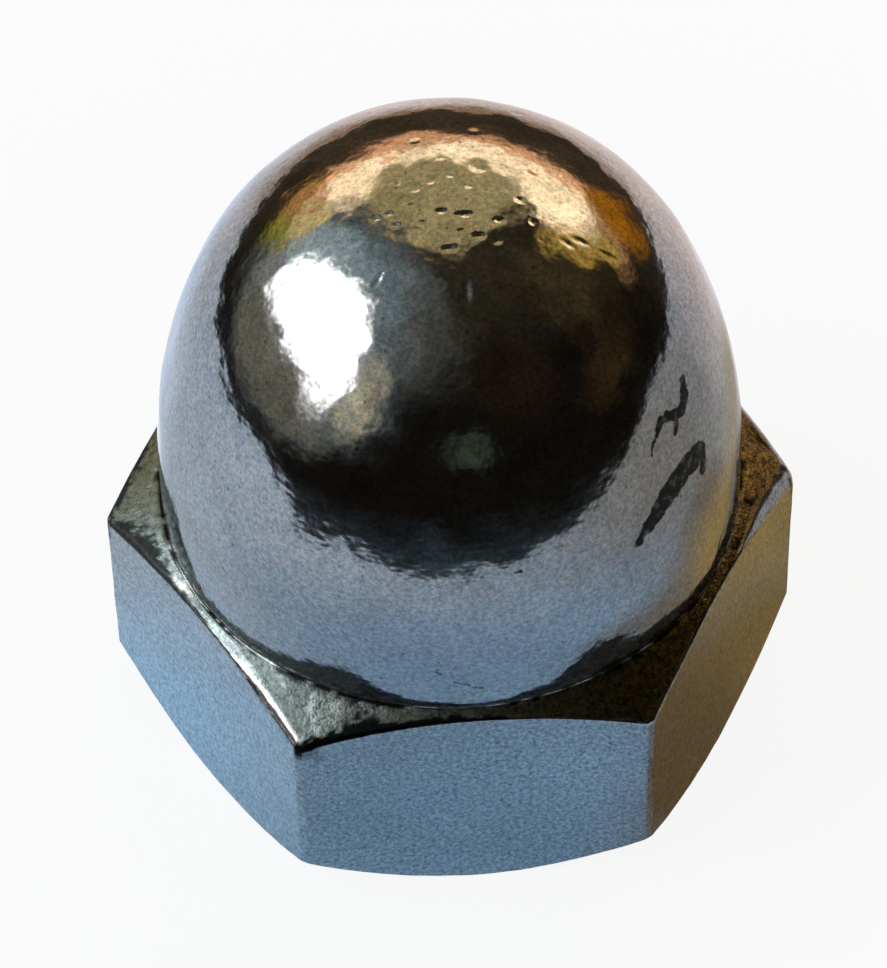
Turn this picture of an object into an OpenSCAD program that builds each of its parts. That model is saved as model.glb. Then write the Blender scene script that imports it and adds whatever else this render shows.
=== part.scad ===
// High domed cap nut, turned in one piece from hexagon bar: a hexagon with its
// corners chamfered at both ends, a small cove, and a dome closed over a blind
// tapped hole. It stands on its bearing face, at z = 0, with its axis on Z and
// two of the hexagon's corners on X. All sizes are in millimetres.

/* [Hexagon] */
// Width across the flats, the spanner size
across_flats = 13; // [10:0.5:18]
// How far the turned corners stand inside the sharp hexagon's corners
corner_break = 0.055; // [0.02:0.005:0.2]
// Height of the middle of each flat above the bearing face
flat_top_z = 5.65; // [4.5:0.05:8]
// Slope of the upper corner chamfer, measured from the horizontal
upper_chamfer_angle = 30; // [20:1:35]
// Slope of the lower corner chamfer, measured from the horizontal
lower_chamfer_angle = 42; // [20:1:45]
// How far the bearing face's rim stands inside the flats
bearing_inset = 0.05; // [0.02:0.01:0.5]

/* [Dome] */
// Overall height from the bearing face to the crown
total_h = 15; // [13.5:0.5:19]
// How far the dome's wall stands inside the flats
dome_inset = 0.25; // [0.2:0.05:0.6]
// Radius of the cove where the dome's wall meets the upper chamfer
cove_r = 0.1; // [0.08:0.01:0.3]
// How far the cove dips below the chamfer's cone, so that a line rings its foot
cove_sink = 0.015; // [0.01:0.005:0.03]
// How much more the dome's side arc measures than its foot radius
side_arc_extra = 6.05; // [2:0.05:8]
// How much less the crown measures in radius than the dome's foot
crown_drop = 0.4; // [0.1:0.05:0.6]

/* [Tapped hole] */
// Nominal diameter of the thread
thread_d = 8; // [6:0.5:8.5]
// Pitch of the thread
pitch = 1.25; // [0.75:0.05:1.5]
// How much wider the tapping drill is than the thread less one pitch
tap_allowance = 0.05; // [0:0.01:0.2]
// How far the countersink's rim stands outside the nominal thread
mouth_extra = 0.4; // [0.2:0.05:0.6]
// Metal left between the drill's point and the crown
crown_wall = 2.15; // [1.5:0.05:4]
// Point angle of the drill
drill_point = 118; // [110:1:135]
// Plain drilled length between the relief groove and the drill's point
drill_run = 0.8; // [0.2:0.1:1.5]
// Width of the thread relief groove
relief_w = 2.6; // [1.5:0.1:3.2]
// How far the relief groove is cut outside the nominal thread
relief_extra = 0.25; // [0.1:0.05:0.3]

/* [Hidden] */
$fn = 96;
eps = 0.01;
plate_colour = [0.66, 0.68, 0.71];

// Hexagon
flat_r = across_flats / 2;
sharp_r = flat_r / cos(30);
corner_r = sharp_r - corner_break;
bearing_r = flat_r - bearing_inset;
lower_corner_z = (corner_r - bearing_r) * tan(lower_chamfer_angle);
upper_corner_z = flat_top_z - (corner_r - flat_r) * tan(upper_chamfer_angle);

// Dome: a plumb wall, a side arc tangent to it, and a crown arc tangent to that,
// but for a hair's lap, so that each pair crosses instead of only touching
side_lap = 0.001;
crown_lap = 0.01;
dome_r = flat_r - dome_inset;
side_arc_r = dome_r + side_arc_extra;
crown_r = dome_r - crown_drop;
crown_rise = sqrt(pow(side_arc_r - crown_r, 2) - pow(side_arc_extra, 2)) + crown_lap;
crown_z = total_h - crown_r;
side_arc_z = crown_z - crown_rise;
blend_z = side_arc_z + side_arc_r * crown_rise / (side_arc_r - crown_r);

// Cove: its arc is tangent to the dome's wall and crosses the upper chamfer
chamfer_top_z = flat_top_z + dome_inset * tan(upper_chamfer_angle);
cove_centre_r = dome_r + cove_r;
cove_centre_z = chamfer_top_z - cove_r * tan(upper_chamfer_angle)
                + (cove_r - cove_sink) / cos(upper_chamfer_angle);
cove_foot_r = cove_centre_r - cove_r * sin(upper_chamfer_angle);
cove_foot_z = cove_centre_z - cove_r * cos(upper_chamfer_angle);

// Tapped hole, left at the tapping drill's size and placed down from the crown
tap_r = (thread_d - pitch + tap_allowance) / 2;
mouth_r = thread_d / 2 + mouth_extra;
relief_r = thread_d / 2 + relief_extra;
relief_flank = relief_r - tap_r;
drill_tip_z = total_h - crown_wall;
drill_full_z = drill_tip_z - tap_r / tan(drill_point / 2);
relief_top_z = drill_full_z - drill_run;
relief_low_z = relief_top_z - relief_w;

// Half section of the turned envelope: both chamfers, corners and bearing face
module turned_envelope() {
    polygon([
        [0, 0],
        [bearing_r, 0],
        [corner_r, lower_corner_z],
        [corner_r, upper_corner_z],
        [dome_r, chamfer_top_z],
        [0, chamfer_top_z]
    ]);
}

// Hexagon bar with its corners turned and chamfered
module hexagon() {
    intersection() {
        cylinder(r = sharp_r, h = chamfer_top_z, $fn = 6);
        rotate_extrude() turned_envelope();
    }
}

// Half section of the cove's metal, between the chamfer and the dome's wall
module cove_section() {
    difference() {
        polygon([
            [dome_r - eps, upper_corner_z],
            [cove_foot_r, upper_corner_z],
            [cove_foot_r, cove_foot_z],
            [cove_centre_r, cove_centre_z],
            [dome_r - eps, cove_centre_z]
        ]);
        translate([cove_centre_r, cove_centre_z]) circle(r = cove_r);
    }
}

// Half section of the dome: the wall starts inside the hexagon, and each arc
// runs on inside the one below it from the height where they are tangent
module dome_section() {
    translate([0, upper_corner_z]) square([dome_r, side_arc_z - upper_corner_z]);
    intersection() {
        translate([side_lap - side_arc_extra, side_arc_z]) circle(r = side_arc_r);
        translate([0, upper_corner_z]) square([side_arc_r, blend_z - upper_corner_z]);
    }
    intersection() {
        translate([0, crown_z]) circle(r = crown_r);
        translate([0, upper_corner_z]) square([crown_r, total_h]);
    }
}

// Half section of the blind hole: countersink, tapping hole, relief groove and
// the drill's point
module hole_section() {
    polygon([
        [0, -eps],
        [mouth_r + eps, -eps],
        [tap_r, mouth_r - tap_r],
        [tap_r, relief_low_z],
        [relief_r, relief_low_z + relief_flank],
        [relief_r, relief_top_z - relief_flank],
        [tap_r, relief_top_z],
        [tap_r, drill_full_z],
        [0, drill_tip_z]
    ]);
}

module cap_nut() {
    color(plate_colour)
    difference() {
        union() {
            hexagon();
            rotate_extrude() union() {
                cove_section();
                dome_section();
            }
        }
        rotate_extrude() hole_section();
    }
}

cap_nut();
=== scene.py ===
"""Looks of a polished high domed cap nut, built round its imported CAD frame.

The nut is one piece of plated steel. Its outside is a polar grid laid over the
turned and hexagonal form, with rounded edges, a grainy turned chamfer and small
dents, and its inside is a real right-hand thread. Lengths are in millimetres
until the mesh is made.
"""

import math

import bpy
import numpy as np
from mathutils import Matrix, Vector


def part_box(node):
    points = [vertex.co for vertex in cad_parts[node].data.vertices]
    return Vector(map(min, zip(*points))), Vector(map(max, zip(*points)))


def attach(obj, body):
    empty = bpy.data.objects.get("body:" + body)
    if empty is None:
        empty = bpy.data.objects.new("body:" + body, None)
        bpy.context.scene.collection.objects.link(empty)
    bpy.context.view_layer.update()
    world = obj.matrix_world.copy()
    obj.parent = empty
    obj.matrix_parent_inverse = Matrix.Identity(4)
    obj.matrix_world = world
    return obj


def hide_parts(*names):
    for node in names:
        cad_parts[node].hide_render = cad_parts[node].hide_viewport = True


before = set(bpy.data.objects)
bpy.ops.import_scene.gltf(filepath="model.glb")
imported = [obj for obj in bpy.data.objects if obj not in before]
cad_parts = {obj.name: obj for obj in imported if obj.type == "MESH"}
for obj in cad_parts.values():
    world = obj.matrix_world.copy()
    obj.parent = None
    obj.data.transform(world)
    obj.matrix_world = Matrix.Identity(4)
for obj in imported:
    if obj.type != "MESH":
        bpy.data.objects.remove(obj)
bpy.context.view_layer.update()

MM = 0.001

# ---------------------------------------------------------------- sizes, mm
node_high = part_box("cap_nut")[1]
CORNER_R = node_high.x / MM
FLAT_R = node_high.y / MM
TOTAL_H = node_high.z / MM
BEARING_R = FLAT_R - 0.05
FLAT_TOP_Z = 5.65
UPPER_CHAMFER = math.radians(30)
UPPER_SLOPE = math.tan(UPPER_CHAMFER)
LOWER_SLOPE = math.tan(math.radians(42))
DOME_R = FLAT_R - 0.25
COVE_R = 0.1
COVE_SINK = 0.015
SIDE_ARC_EXTRA = 6.05
SIDE_ARC_R = DOME_R + SIDE_ARC_EXTRA
CROWN_R = DOME_R - 0.4
CROWN_Z = TOTAL_H - CROWN_R
CROWN_RISE = math.sqrt((SIDE_ARC_R - CROWN_R) ** 2 - SIDE_ARC_EXTRA**2)
SIDE_ARC_Z = CROWN_Z - CROWN_RISE
BLEND_ANGLE = math.asin(CROWN_RISE / (SIDE_ARC_R - CROWN_R))
CHAMFER_TOP_Z = FLAT_TOP_Z + (FLAT_R - DOME_R) * UPPER_SLOPE
COVE_CENTRE_R = DOME_R + COVE_R
COVE_CENTRE_Z = (
    CHAMFER_TOP_Z - COVE_R * UPPER_SLOPE + (COVE_R - COVE_SINK) / math.cos(UPPER_CHAMFER)
)
# The cove's arc leaves the chamfer's cone this far round from its plumb end
COVE_SWEEP = math.radians(60) - math.acos((COVE_R - COVE_SINK) / COVE_R)

# The hole: radii, the thread's pitch, and heights as the solid has them
MOUTH_R = 4.4
TAP_R = 3.4
THREAD_R = 4.0
PITCH = 1.25
RELIEF_R = 4.25
RELIEF_LOW_Z = 7.407
RELIEF_TOP_Z = 10.007
DRILL_FULL_Z = 10.807
DRILL_TIP_Z = 12.85

# How far the grid is set in before it is roughened, so that no bump leaves the solid's box
GRAIN_ROOM = 0.012
WAVE_ROOM = 0.010

# ---------------------------------------------------------------- small maths

# Odd numbers that scatter a lattice point's place and the seed over the noise's values
SCATTER = (374761393, 668265263, 2147483647)
SEED_SCATTER = 974711
LAST_SCATTER = 1274126177


def lattice_noise(points, cell, seed):
    """Smooth noise from -1 to 1 over points, whose last axis is x, y, z, with that cell size."""
    q = points / cell
    base = np.floor(q).astype(np.int64)
    part = q - base
    part = part * part * (3 - 2 * part)
    total = np.zeros(points.shape[:-1])
    for corner in np.ndindex(2, 2, 2):
        k = base + np.array(corner)
        mix = (k * np.array(SCATTER)).sum(-1) + seed * SEED_SCATTER
        mix = (mix ^ (mix >> 13)) * LAST_SCATTER
        value = ((mix ^ (mix >> 16)) & 0xFFFF) / 32767.5 - 1
        share = np.prod(np.where(np.array(corner) == 1, part, 1 - part), axis=-1)
        total += value * share
    return total


def smooth_step(low, high, x):
    """0 below low, 1 above high and smooth between them."""
    t = np.clip((x - low) / (high - low), 0, 1)
    return t * t * (3 - 2 * t)


def angle_between(a, b):
    """Signed turn from b to a in degrees, from -180 to 180."""
    return (a - b + 180) % 360 - 180


def unit(v):
    """Vectors along the first axis, at length 1."""
    return v / np.sqrt((v * v).sum(0))


# ---------------------------------------------------------------- half section

COLUMNS = 480

# Rows of the crown are laid out in full up to this angle, and close on the pole above it
CROWN_CAP_ANGLE = math.acos(2.2 / CROWN_R)
# How sharply the hexagon's sides turn into its turned-off corners
CORNER_HARDNESS = 220.0
# Spots where an upper edge was hit or over-polished: azimuth, half-width in degrees, extra radius
EDGE_SPOTS = (
    (240, 6, 0.26),
    (250, 9, 0.10),
    (231, 7, 0.26),
    (186, 8, 0.22),
    (201, 5, 0.16),
    (357, 7, 0.60),
    (347, 7, 0.36),
    (12, 10, 0.32),
    (64, 7, 0.20),
    (123, 6, 0.24),
    (300, 4, 0.08),
)


def column_angles():
    """Angles of the grid's columns, in radians: closest together at the hexagon's corners."""
    half_side = FLAT_R * math.tan(math.radians(30))
    steps = [0.0]
    while steps[-1] < half_side:
        steps.append(steps[-1] + min(0.02 + 0.25 * steps[-1], 0.103))
    even = np.linspace(0, len(steps) - 1, COLUMNS // 12 + 1)
    steps = np.interp(even, np.arange(len(steps)), steps)
    steps = steps * half_side / steps[-1]
    half = math.radians(30) - np.arctan((half_side - steps) / FLAT_R)
    sector = np.concatenate([half[:-1], math.radians(60) - half[::-1][:-1]])
    return np.concatenate([sector + math.radians(60 * k) for k in range(6)])


ANGLES = column_angles()
DEGREES = np.degrees(ANGLES)


def flat_radius():
    """Distance of the hexagon's side from the axis in each column, with its corners turned off."""
    from_flat = np.radians(angle_between(DEGREES, 30 + 60 * np.round((DEGREES - 30) / 60)))
    sharp = FLAT_R / np.cos(from_flat)
    limits = -CORNER_HARDNESS * sharp, -CORNER_HARDNESS * CORNER_R
    return -np.logaddexp(*limits) / CORNER_HARDNESS


def edge_radius(reach_limit):
    """Radius of the worn edge between the flats and the upper chamfer in each column."""
    ring = np.stack([np.cos(ANGLES), np.sin(ANGLES), np.zeros(COLUMNS)], 1) * FLAT_R
    radius = 0.11 + 0.03 * lattice_noise(ring, 0.6, 3) + 0.02 * lattice_noise(ring, 0.15, 4)
    for place, width, extra in EDGE_SPOTS:
        radius = radius + extra * np.exp(-((angle_between(DEGREES, place) / width) ** 2))
    return np.minimum(radius, 0.8 * reach_limit / UPPER_SLOPE)


def straight(start, end, count, margin=0.03):
    """Rows between two ends, which aren't among them, the outer two close to the ends."""
    length = np.sqrt(((end - start) ** 2).sum(0))
    near = np.minimum(margin / length, 0.2)
    rows = []
    for k in range(count):
        share = near + (1 - 2 * near) * k / (count - 1)
        rows.append(start + (end - start) * share)
    return rows


def rounded(before, corner, after, radius, count):
    """Rows over the arc that rounds a corner of the half section."""
    into, out = unit(corner - before), unit(after - corner)
    turn = np.arccos(np.clip((into * out).sum(0), -1, 1))
    reach = radius * np.tan(turn / 2)
    start, end = corner - into * reach, corner + out * reach
    weight = np.cos(turn / 2)
    rows = []
    for s in np.linspace(0, 1, count):
        a, b, c = (1 - s) ** 2, 2 * s * (1 - s) * weight, s**2
        rows.append((a * start + b * corner + c * end) / (a + b + c))
    return rows


def point(r, z):
    """One point of the half section, the same in all columns."""
    return np.stack([np.full(COLUMNS, float(r)), np.full(COLUMNS, float(z))])


def arc(centre_r, centre_z, radius, start, end, count):
    """Rows over an arc of the half section, its first end left out. Angles are in radians."""
    rows = []
    for k in range(1, count + 1):
        a = start + (end - start) * k / count
        rows.append(point(centre_r + radius * math.cos(a), centre_z + radius * math.sin(a)))
    return rows


def outer_section():
    """The rows of the outside from the countersink's rim to the top of the crown's side.

    Returns the rows and, for each, how grainy it is and how far it belongs to the dome."""
    side_r = flat_radius()
    mouth_rim = point(MOUTH_R, 0)
    bearing_rim = point(BEARING_R, 0)
    foot = np.stack([side_r, (side_r - BEARING_R) * LOWER_SLOPE])
    shoulder = np.stack([side_r, FLAT_TOP_Z - (side_r - FLAT_R) * UPPER_SLOPE])
    cove_start = -math.pi + COVE_SWEEP
    cove_foot = point(
        COVE_CENTRE_R + COVE_R * math.cos(cove_start), COVE_CENTRE_Z + COVE_R * math.sin(cove_start)
    )
    dome_foot = point(DOME_R, SIDE_ARC_Z)
    slant = np.sqrt(((shoulder - cove_foot) ** 2).sum(0))
    rows, grain, dome = [], [], []

    def add(new_rows, grainy, domed):
        rows.extend(new_rows)
        grain.extend(np.broadcast_to(grainy, len(new_rows)))
        dome.extend([domed] * len(new_rows))

    rim_arc = rounded(mouth_rim, bearing_rim, foot, 0.05, 4)
    foot_arc = rounded(bearing_rim, foot, shoulder, 0.06, 5)
    shoulder_arc = rounded(foot, shoulder, cove_foot, edge_radius(slant), 9)
    add(straight(mouth_rim, rim_arc[0], 10), 0.5, 0)
    add(rim_arc, 0.5, 0)
    add(straight(rim_arc[-1], foot_arc[0], 8), 1.0, 0)
    add(foot_arc, np.linspace(0.7, 0.0, 5), 0)
    add(straight(foot_arc[-1], shoulder_arc[0], 18), 0, 0)
    add(shoulder_arc, np.array([0, 0, 0, 0, 0, 0.05, 0.15, 0.4, 0.8]), 0)
    add(straight(shoulder_arc[-1], cove_foot, 14), 1.0, 0)
    add([cove_foot], 0.6, 0.5)
    add(arc(COVE_CENTRE_R, COVE_CENTRE_Z, COVE_R, cove_start, -math.pi, 4), 0.15, 1)
    add(straight(rows[-1], dome_foot, 14, 0.04), 0, 1)
    add([dome_foot], 0, 1)
    add(arc(-SIDE_ARC_EXTRA, SIDE_ARC_Z, SIDE_ARC_R, 0, BLEND_ANGLE, 22), 0, 1)
    add(arc(0, CROWN_Z, CROWN_R, BLEND_ANGLE, CROWN_CAP_ANGLE, 37), 0, 1)
    return np.array(rows), np.array(grain), np.array(dome)


# ---------------------------------------------------------------- dents


def dome_radius(height):
    """The dome's radius at a height."""
    if height >= SIDE_ARC_Z + SIDE_ARC_R * math.sin(BLEND_ANGLE):
        return math.sqrt(max(CROWN_R**2 - (height - CROWN_Z) ** 2, 0))
    if height >= SIDE_ARC_Z:
        return math.sqrt(SIDE_ARC_R**2 - (height - SIDE_ARC_Z) ** 2) - SIDE_ARC_EXTRA
    return DOME_R


def spot(azimuth, radius, height):
    """A point by its azimuth in degrees, its distance from the axis and its height."""
    a = math.radians(azimuth)
    return np.array([radius * math.cos(a), radius * math.sin(a), height])


def on_crown(azimuth, radius):
    """A point of the crown by its azimuth in degrees and its distance from the axis."""
    return spot(azimuth, radius, CROWN_Z + math.sqrt(CROWN_R**2 - radius**2))


def on_dome(azimuth, height):
    """A point of the dome by its azimuth in degrees and its height."""
    return spot(azimuth, dome_radius(height), height)


# Small pits in the crown: azimuth, distance from the axis, half-length along X, half-width
CROWN_PITS = (
    (39, 0.98, 0.17, 0.14),
    (14, 0.54, 0.13, 0.11),
    (131, 0.39, 0.12, 0.11),
    (169, 0.59, 0.12, 0.10),
    (201, 0.80, 0.20, 0.07),
    (199, 1.24, 0.15, 0.07),
    (197, 1.50, 0.18, 0.08),
    (260, 0.51, 0.14, 0.12),
    (302, 0.72, 0.23, 0.13),
    (325, 1.31, 0.12, 0.10),
    (299, 1.29, 0.12, 0.11),
    (270, 1.39, 0.14, 0.09),
    (308, 1.58, 0.12, 0.09),
    (68, 0.45, 0.11, 0.09),
    (68, 2.03, 0.12, 0.09),
    (341, 2.87, 0.17, 0.10),
    (342, 3.40, 0.20, 0.10),
    (336, 2.66, 0.13, 0.08),
    (173, 2.70, 0.14, 0.12),
    (19, 2.00, 0.14, 0.10),
    (106, 1.71, 0.13, 0.10),
    (230, 2.35, 0.10, 0.08),
    (141, 3.28, 0.16, 0.10),
    (60, 3.48, 0.14, 0.09),
    (345, 0.95, 0.09, 0.07),
    (330, 0.55, 0.09, 0.07),
    (235, 0.90, 0.09, 0.07),
    (215, 1.25, 0.08, 0.07),
    (285, 1.05, 0.08, 0.07),
    (352, 1.55, 0.10, 0.07),
    (338, 1.90, 0.10, 0.08),
    (330, 2.25, 0.09, 0.07),
    (90, 0.95, 0.09, 0.07),
    (160, 1.00, 0.08, 0.07),
)
# A pit's far side by its near side, for pits at these Y: it follows what that side mirrors
PIT_FAR_SIDES = (0.35, 2.3)
PIT_PLACES = (-0.45, 0.2)
# Knocks in the top edges of the flats: azimuth, height, half-length, half-width, depth
KNOCKS = (
    (340.5, 5.32, 0.24, 0.10, 0.06),
    (297.6, 5.22, 0.14, 0.09, 0.05),
    (35.0, 5.55, 0.20, 0.10, 0.04),
    (131.0, 5.50, 0.16, 0.12, 0.05),
)
# A short scratch down the crown's front: half-length, half-width, depth and way
SCRATCH = (0.27, 0.11, 0.034, np.array([-0.12, -0.9, -0.36]))


def dent(points, centre, along, across, depth, axis):
    """Depth of an oval dent at each point, of that half-length on the axis and half-width."""
    away = points - centre
    axis = axis / np.linalg.norm(axis)
    on_axis = away @ axis
    off_axis = np.sqrt(np.maximum((away * away).sum(-1) - on_axis**2, 0))
    q = (on_axis / along) ** 2 + (off_axis / across) ** 2
    return depth * np.exp(-1.3 * q)


def pit(points, azimuth, radius, along, across):
    """Depth of a small pit of the crown at each point: a lopsided cone, steeper near the front."""
    centre = on_crown(azimuth, radius)
    away = points - centre
    far_side = np.interp(centre[1], PIT_PLACES, PIT_FAR_SIDES)
    width = across * np.where(away[..., 1] > 0, far_side, 1.0)
    off_axis = away[..., 1] ** 2 + away[..., 2] ** 2
    q = np.sqrt((away[..., 0] / (1.25 * along)) ** 2 + off_axis / width**2)
    slope = np.clip(0.29 - 1.25 * centre[1] / CROWN_R, 0.18, 0.46)
    return across * slope * np.clip(1.0 - q, 0, 1)


def dents(points):
    """How deep the surface is pushed in at each point by all its dents."""
    from_top = np.linalg.norm(points - np.array([0, 0, TOTAL_H]), axis=-1)
    # The very top is beaten a little
    total = np.exp(-((from_top / 1.9) ** 2)) * 0.005 * (1 + lattice_noise(points, 0.24, 17))
    for each in CROWN_PITS:
        total += pit(points, *each)
    total += dent(points, on_crown(276.5, 2.33), *SCRATCH)
    for azimuth, height, along, across, depth in KNOCKS:
        off_flat = angle_between(azimuth, 30 + 60 * round((azimuth - 30) / 60))
        centre = spot(azimuth, FLAT_R / math.cos(math.radians(off_flat)), height)
        total += dent(points, centre, along, across, depth, np.array([0, 0, 1.0]))
    return total


# ---------------------------------------------------------------- mesh

SURFACE_MARKS = ("grain", "dome", "grime", "bore")
MARKS = SURFACE_MARKS + ("run",)


class Shell:
    """Vertices, faces and per-vertex marks of the mesh while it is put together."""

    def __init__(self):
        self.points = []
        self.faces = []
        self.marks = {name: [] for name in MARKS}
        self.count = 0

    def ring(self, points, run, **marks):
        """Adds vertices and returns their numbers. run is how far along the section they are."""
        n = len(points)
        self.points.append(points)
        marks["run"] = run
        for name in MARKS:
            value = np.asarray(marks.get(name, 0.0), float)
            self.marks[name].append(np.broadcast_to(value, n))
        self.count += n
        return np.arange(self.count - n, self.count)

    def mark(self, name):
        """One mark of all the vertices."""
        return np.concatenate(self.marks[name])

    def join(self, below, above):
        """Faces between two closed rings, where the upper has as many vertices or half as many."""
        n = len(below)
        if len(above) == n:
            for k in range(n):
                m = (k + 1) % n
                self.faces.append((below[k], below[m], above[m], above[k]))
            return
        for k in range(len(above)):
            m = (k + 1) % len(above)
            a, b, c = below[2 * k], below[2 * k + 1], below[(2 * k + 2) % n]
            self.faces.append((a, b, above[k]))
            self.faces.append((b, above[m], above[k]))
            self.faces.append((b, c, above[m]))

    def fan(self, ring, tip):
        """Faces from a ring to one vertex."""
        for k in range(len(ring)):
            self.faces.append((ring[k], ring[(k + 1) % len(ring)], tip))


def grid_normals(points):
    """Outward normals of a grid whose first axis runs up the section and second round the axis."""
    up = np.gradient(points, axis=0)
    wrapped = np.concatenate([points[:, -1:], points, points[:, :1]], axis=1)
    around = (wrapped[:, 2:] - wrapped[:, :-2]) / 2
    normals = np.cross(around, up)
    return normals / np.maximum(np.linalg.norm(normals, axis=-1, keepdims=True), 1e-12)


def waves(points):
    """Slow waves left by the polishing, mm."""
    return 0.010 * lattice_noise(points, 0.8, 14) + 0.0052 * lattice_noise(points, 0.33, 15)


# Dark dirt on the upper chamfer along a flat: the flat's azimuth, the middle and half-width in
# degrees, where it starts and ends in from the flat, strength
CHAMFER_STAINS = (
    (210, 188, 9, 0.02, 0.46, 0.9),
    (210, 201, 14, 0.02, 0.10, 0.9),
    (210, 226, 20, 0.02, 0.05, 0.9),
    (210, 224, 18, 0.24, 1.30, 0.45),
    (150, 174, 11, 0.02, 0.22, 0.9),
    (270, 248, 8, 0.02, 0.42, 1.0),
    (270, 259, 16, 0.02, 0.17, 1.0),
    (330, 351, 13, 0.30, 0.40, 1.0),
    (330, 325, 14, 0.02, 0.06, 0.9),
    (30, 9, 14, 0.22, 0.32, 0.9),
    (90, 118, 12, 0.02, 0.30, 0.8),
    (150, 122, 9, 0.02, 0.22, 0.8),
)


# Strips of the upper chamfer worn smooth along a flat: the flat's azimuth, both ends, width
POLISHED = (
    (210, 222, 244, 0.20),
    (210, 199, 206, 0.26),
    (30, 40, 56, 0.18),
    (90, 108, 122, 0.16),
)


def inside_flat(points, flat):
    """How far each point is inside the plane of the flat at that azimuth."""
    a = math.radians(flat)
    return FLAT_R - points[..., 0] * math.cos(a) - points[..., 1] * math.sin(a)


def near_top(points):
    """True on the upper chamfer and just below it."""
    return points[..., 2] > FLAT_TOP_Z - 1.0


def worn_grain(points, grain):
    """The grain that is left where strips of the upper chamfer are worn smooth."""
    grain = np.broadcast_to(grain[:, None], points.shape[:2])
    ragged = 1 + 0.4 * lattice_noise(points, 0.25, 16)
    for flat, first, last, width in POLISHED:
        middle = (first + last) / 2
        half = (last - first) / 2
        along = 1 - smooth_step(0.7, 1.0, np.abs(angle_between(DEGREES, middle)) / half)
        inside = inside_flat(points, flat) / (width * ragged)
        worn = near_top(points) * along * (1 - smooth_step(0.6, 1.0, inside))
        grain = grain * (1 - worn)
    return grain


# The torn line's rows, from the row of the cove's foot: share cut where it is only fine, and
# where it is gouged
TORN_ROWS = ((-3, 0, 0.6), (-2, 0.2, 1.0), (-1, 1.0, 1.0), (0, 1.0, 1.0), (1, 0.8, 1.0))
TORN_DEPTH = 0.03


def torn_line(points, dome):
    """How far each point is cut by the fine torn line where the cove's arc meets the chamfer."""
    torn = np.zeros(points.shape[:2])
    line = int(np.argmax(dome > 0))
    foot = points[line]
    patchy = 0.5 * lattice_noise(foot, 1.1, 21) + 0.5 * lattice_noise(foot, 0.22, 22)
    broken = smooth_step(-0.34, -0.04, patchy)
    gouged = smooth_step(0.22, 0.34, patchy)
    for row, share, gouge in TORN_ROWS:
        torn[line + row] = np.maximum(share * broken, gouge * gouged)
    return torn


def stained_edges(points, dome, ragged):
    """How dirty each point of the upper chamfer is."""
    grime = np.zeros(points.shape[:2])
    for flat, place, width, start, end, share in CHAMFER_STAINS:
        inside = inside_flat(points, flat)
        taper = np.exp(-((angle_between(DEGREES, place) / width) ** 2))
        uneven = np.maximum(end * taper * ragged, 1e-6)
        dirt = share * (1 - smooth_step(0.7, 1.25, inside / uneven))
        hit = (inside > start * taper) & (inside > 0.012) & near_top(points)
        hit = hit & (dome[:, None] < 0.4)
        grime = np.maximum(grime, np.where(hit, dirt, 0))
    return grime


def roughen(points, grain, dome):
    """Pushes the grid in: turned grain on the chamfers, slow waves, dents and the torn line.

    Returns it, how grainy it is and how dark: dirt on the chamfer, and painted shade along the torn
    line."""
    grain = worn_grain(points, grain)
    coarse = lattice_noise(points, 0.30, 11)
    medium = lattice_noise(points, 0.13, 12)
    fine = lattice_noise(points, 0.075, 13)
    rough = GRAIN_ROOM + (0.006 * coarse + 0.004 * medium + 0.004 * fine)
    torn = torn_line(points, dome)
    depth = grain * rough + (1 - grain) * (WAVE_ROOM + waves(points))
    depth = depth + dents(points) + TORN_DEPTH * torn
    # The torn line is darkened as far as it is cut: painted shade in the cut. The stains beside it
    # are dirt.
    grime = np.maximum(torn, stained_edges(points, dome, 1 + 0.5 * coarse + 0.6 * fine))
    return points - grid_normals(points) * np.maximum(depth, 0)[..., None], grain, grime


def add_outside(shell):
    """The outside, from the countersink's rim over the hexagon and dome to the pole."""
    rows, grain, dome = outer_section()
    ring = np.stack([np.cos(ANGLES), np.sin(ANGLES)], -1)
    points = np.zeros((len(rows), COLUMNS, 3))
    points[..., :2] = rows[:, 0, :, None] * ring
    points[..., 2] = rows[:, 1]
    steps = np.linalg.norm(np.diff(points, axis=0), axis=-1).mean(1)
    run = np.concatenate([[0], np.cumsum(steps)])
    points, grain, grime = roughen(points, grain, dome)
    rings = [
        shell.ring(points[k], run[k], grain=grain[k], dome=dome[k], grime=grime[k])
        for k in range(len(rows))
    ]
    for below, above in zip(rings, rings[1:]):
        shell.join(below, above)
    add_crown(shell, rings[-1], run[-1])
    return rings[0]


CAP_ROWS = 48
# Radii at which the cap's rings halve their vertices
CAP_LIMITS = (2.1, 1.0, 0.45)


def add_crown(shell, below, run):
    """The crown's cap, in rings with fewer vertices as they close on the pole."""
    step = (math.pi / 2 - CROWN_CAP_ANGLE) / CAP_ROWS
    stride = 1
    for k in range(1, CAP_ROWS):
        a = CROWN_CAP_ANGLE + step * k
        r = CROWN_R * math.cos(a)
        for limit in CAP_LIMITS:
            if r < limit <= CROWN_R * math.cos(a - step):
                stride *= 2
        angles = ANGLES[::stride]
        z = np.full(len(angles), CROWN_Z + CROWN_R * math.sin(a))
        points = np.stack([r * np.cos(angles), r * np.sin(angles), z], 1)
        outward = (points - np.array([0, 0, CROWN_Z])) / CROWN_R
        depth = np.maximum(WAVE_ROOM + waves(points), 0) + dents(points)
        run = run + step * CROWN_R
        above = shell.ring(points - outward * depth[:, None], run, dome=1)
        shell.join(below, above)
        below = above
    tip = np.array([[0, 0, TOTAL_H - WAVE_ROOM]])
    shell.fan(below, shell.ring(tip, run, dome=1)[0])


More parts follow.
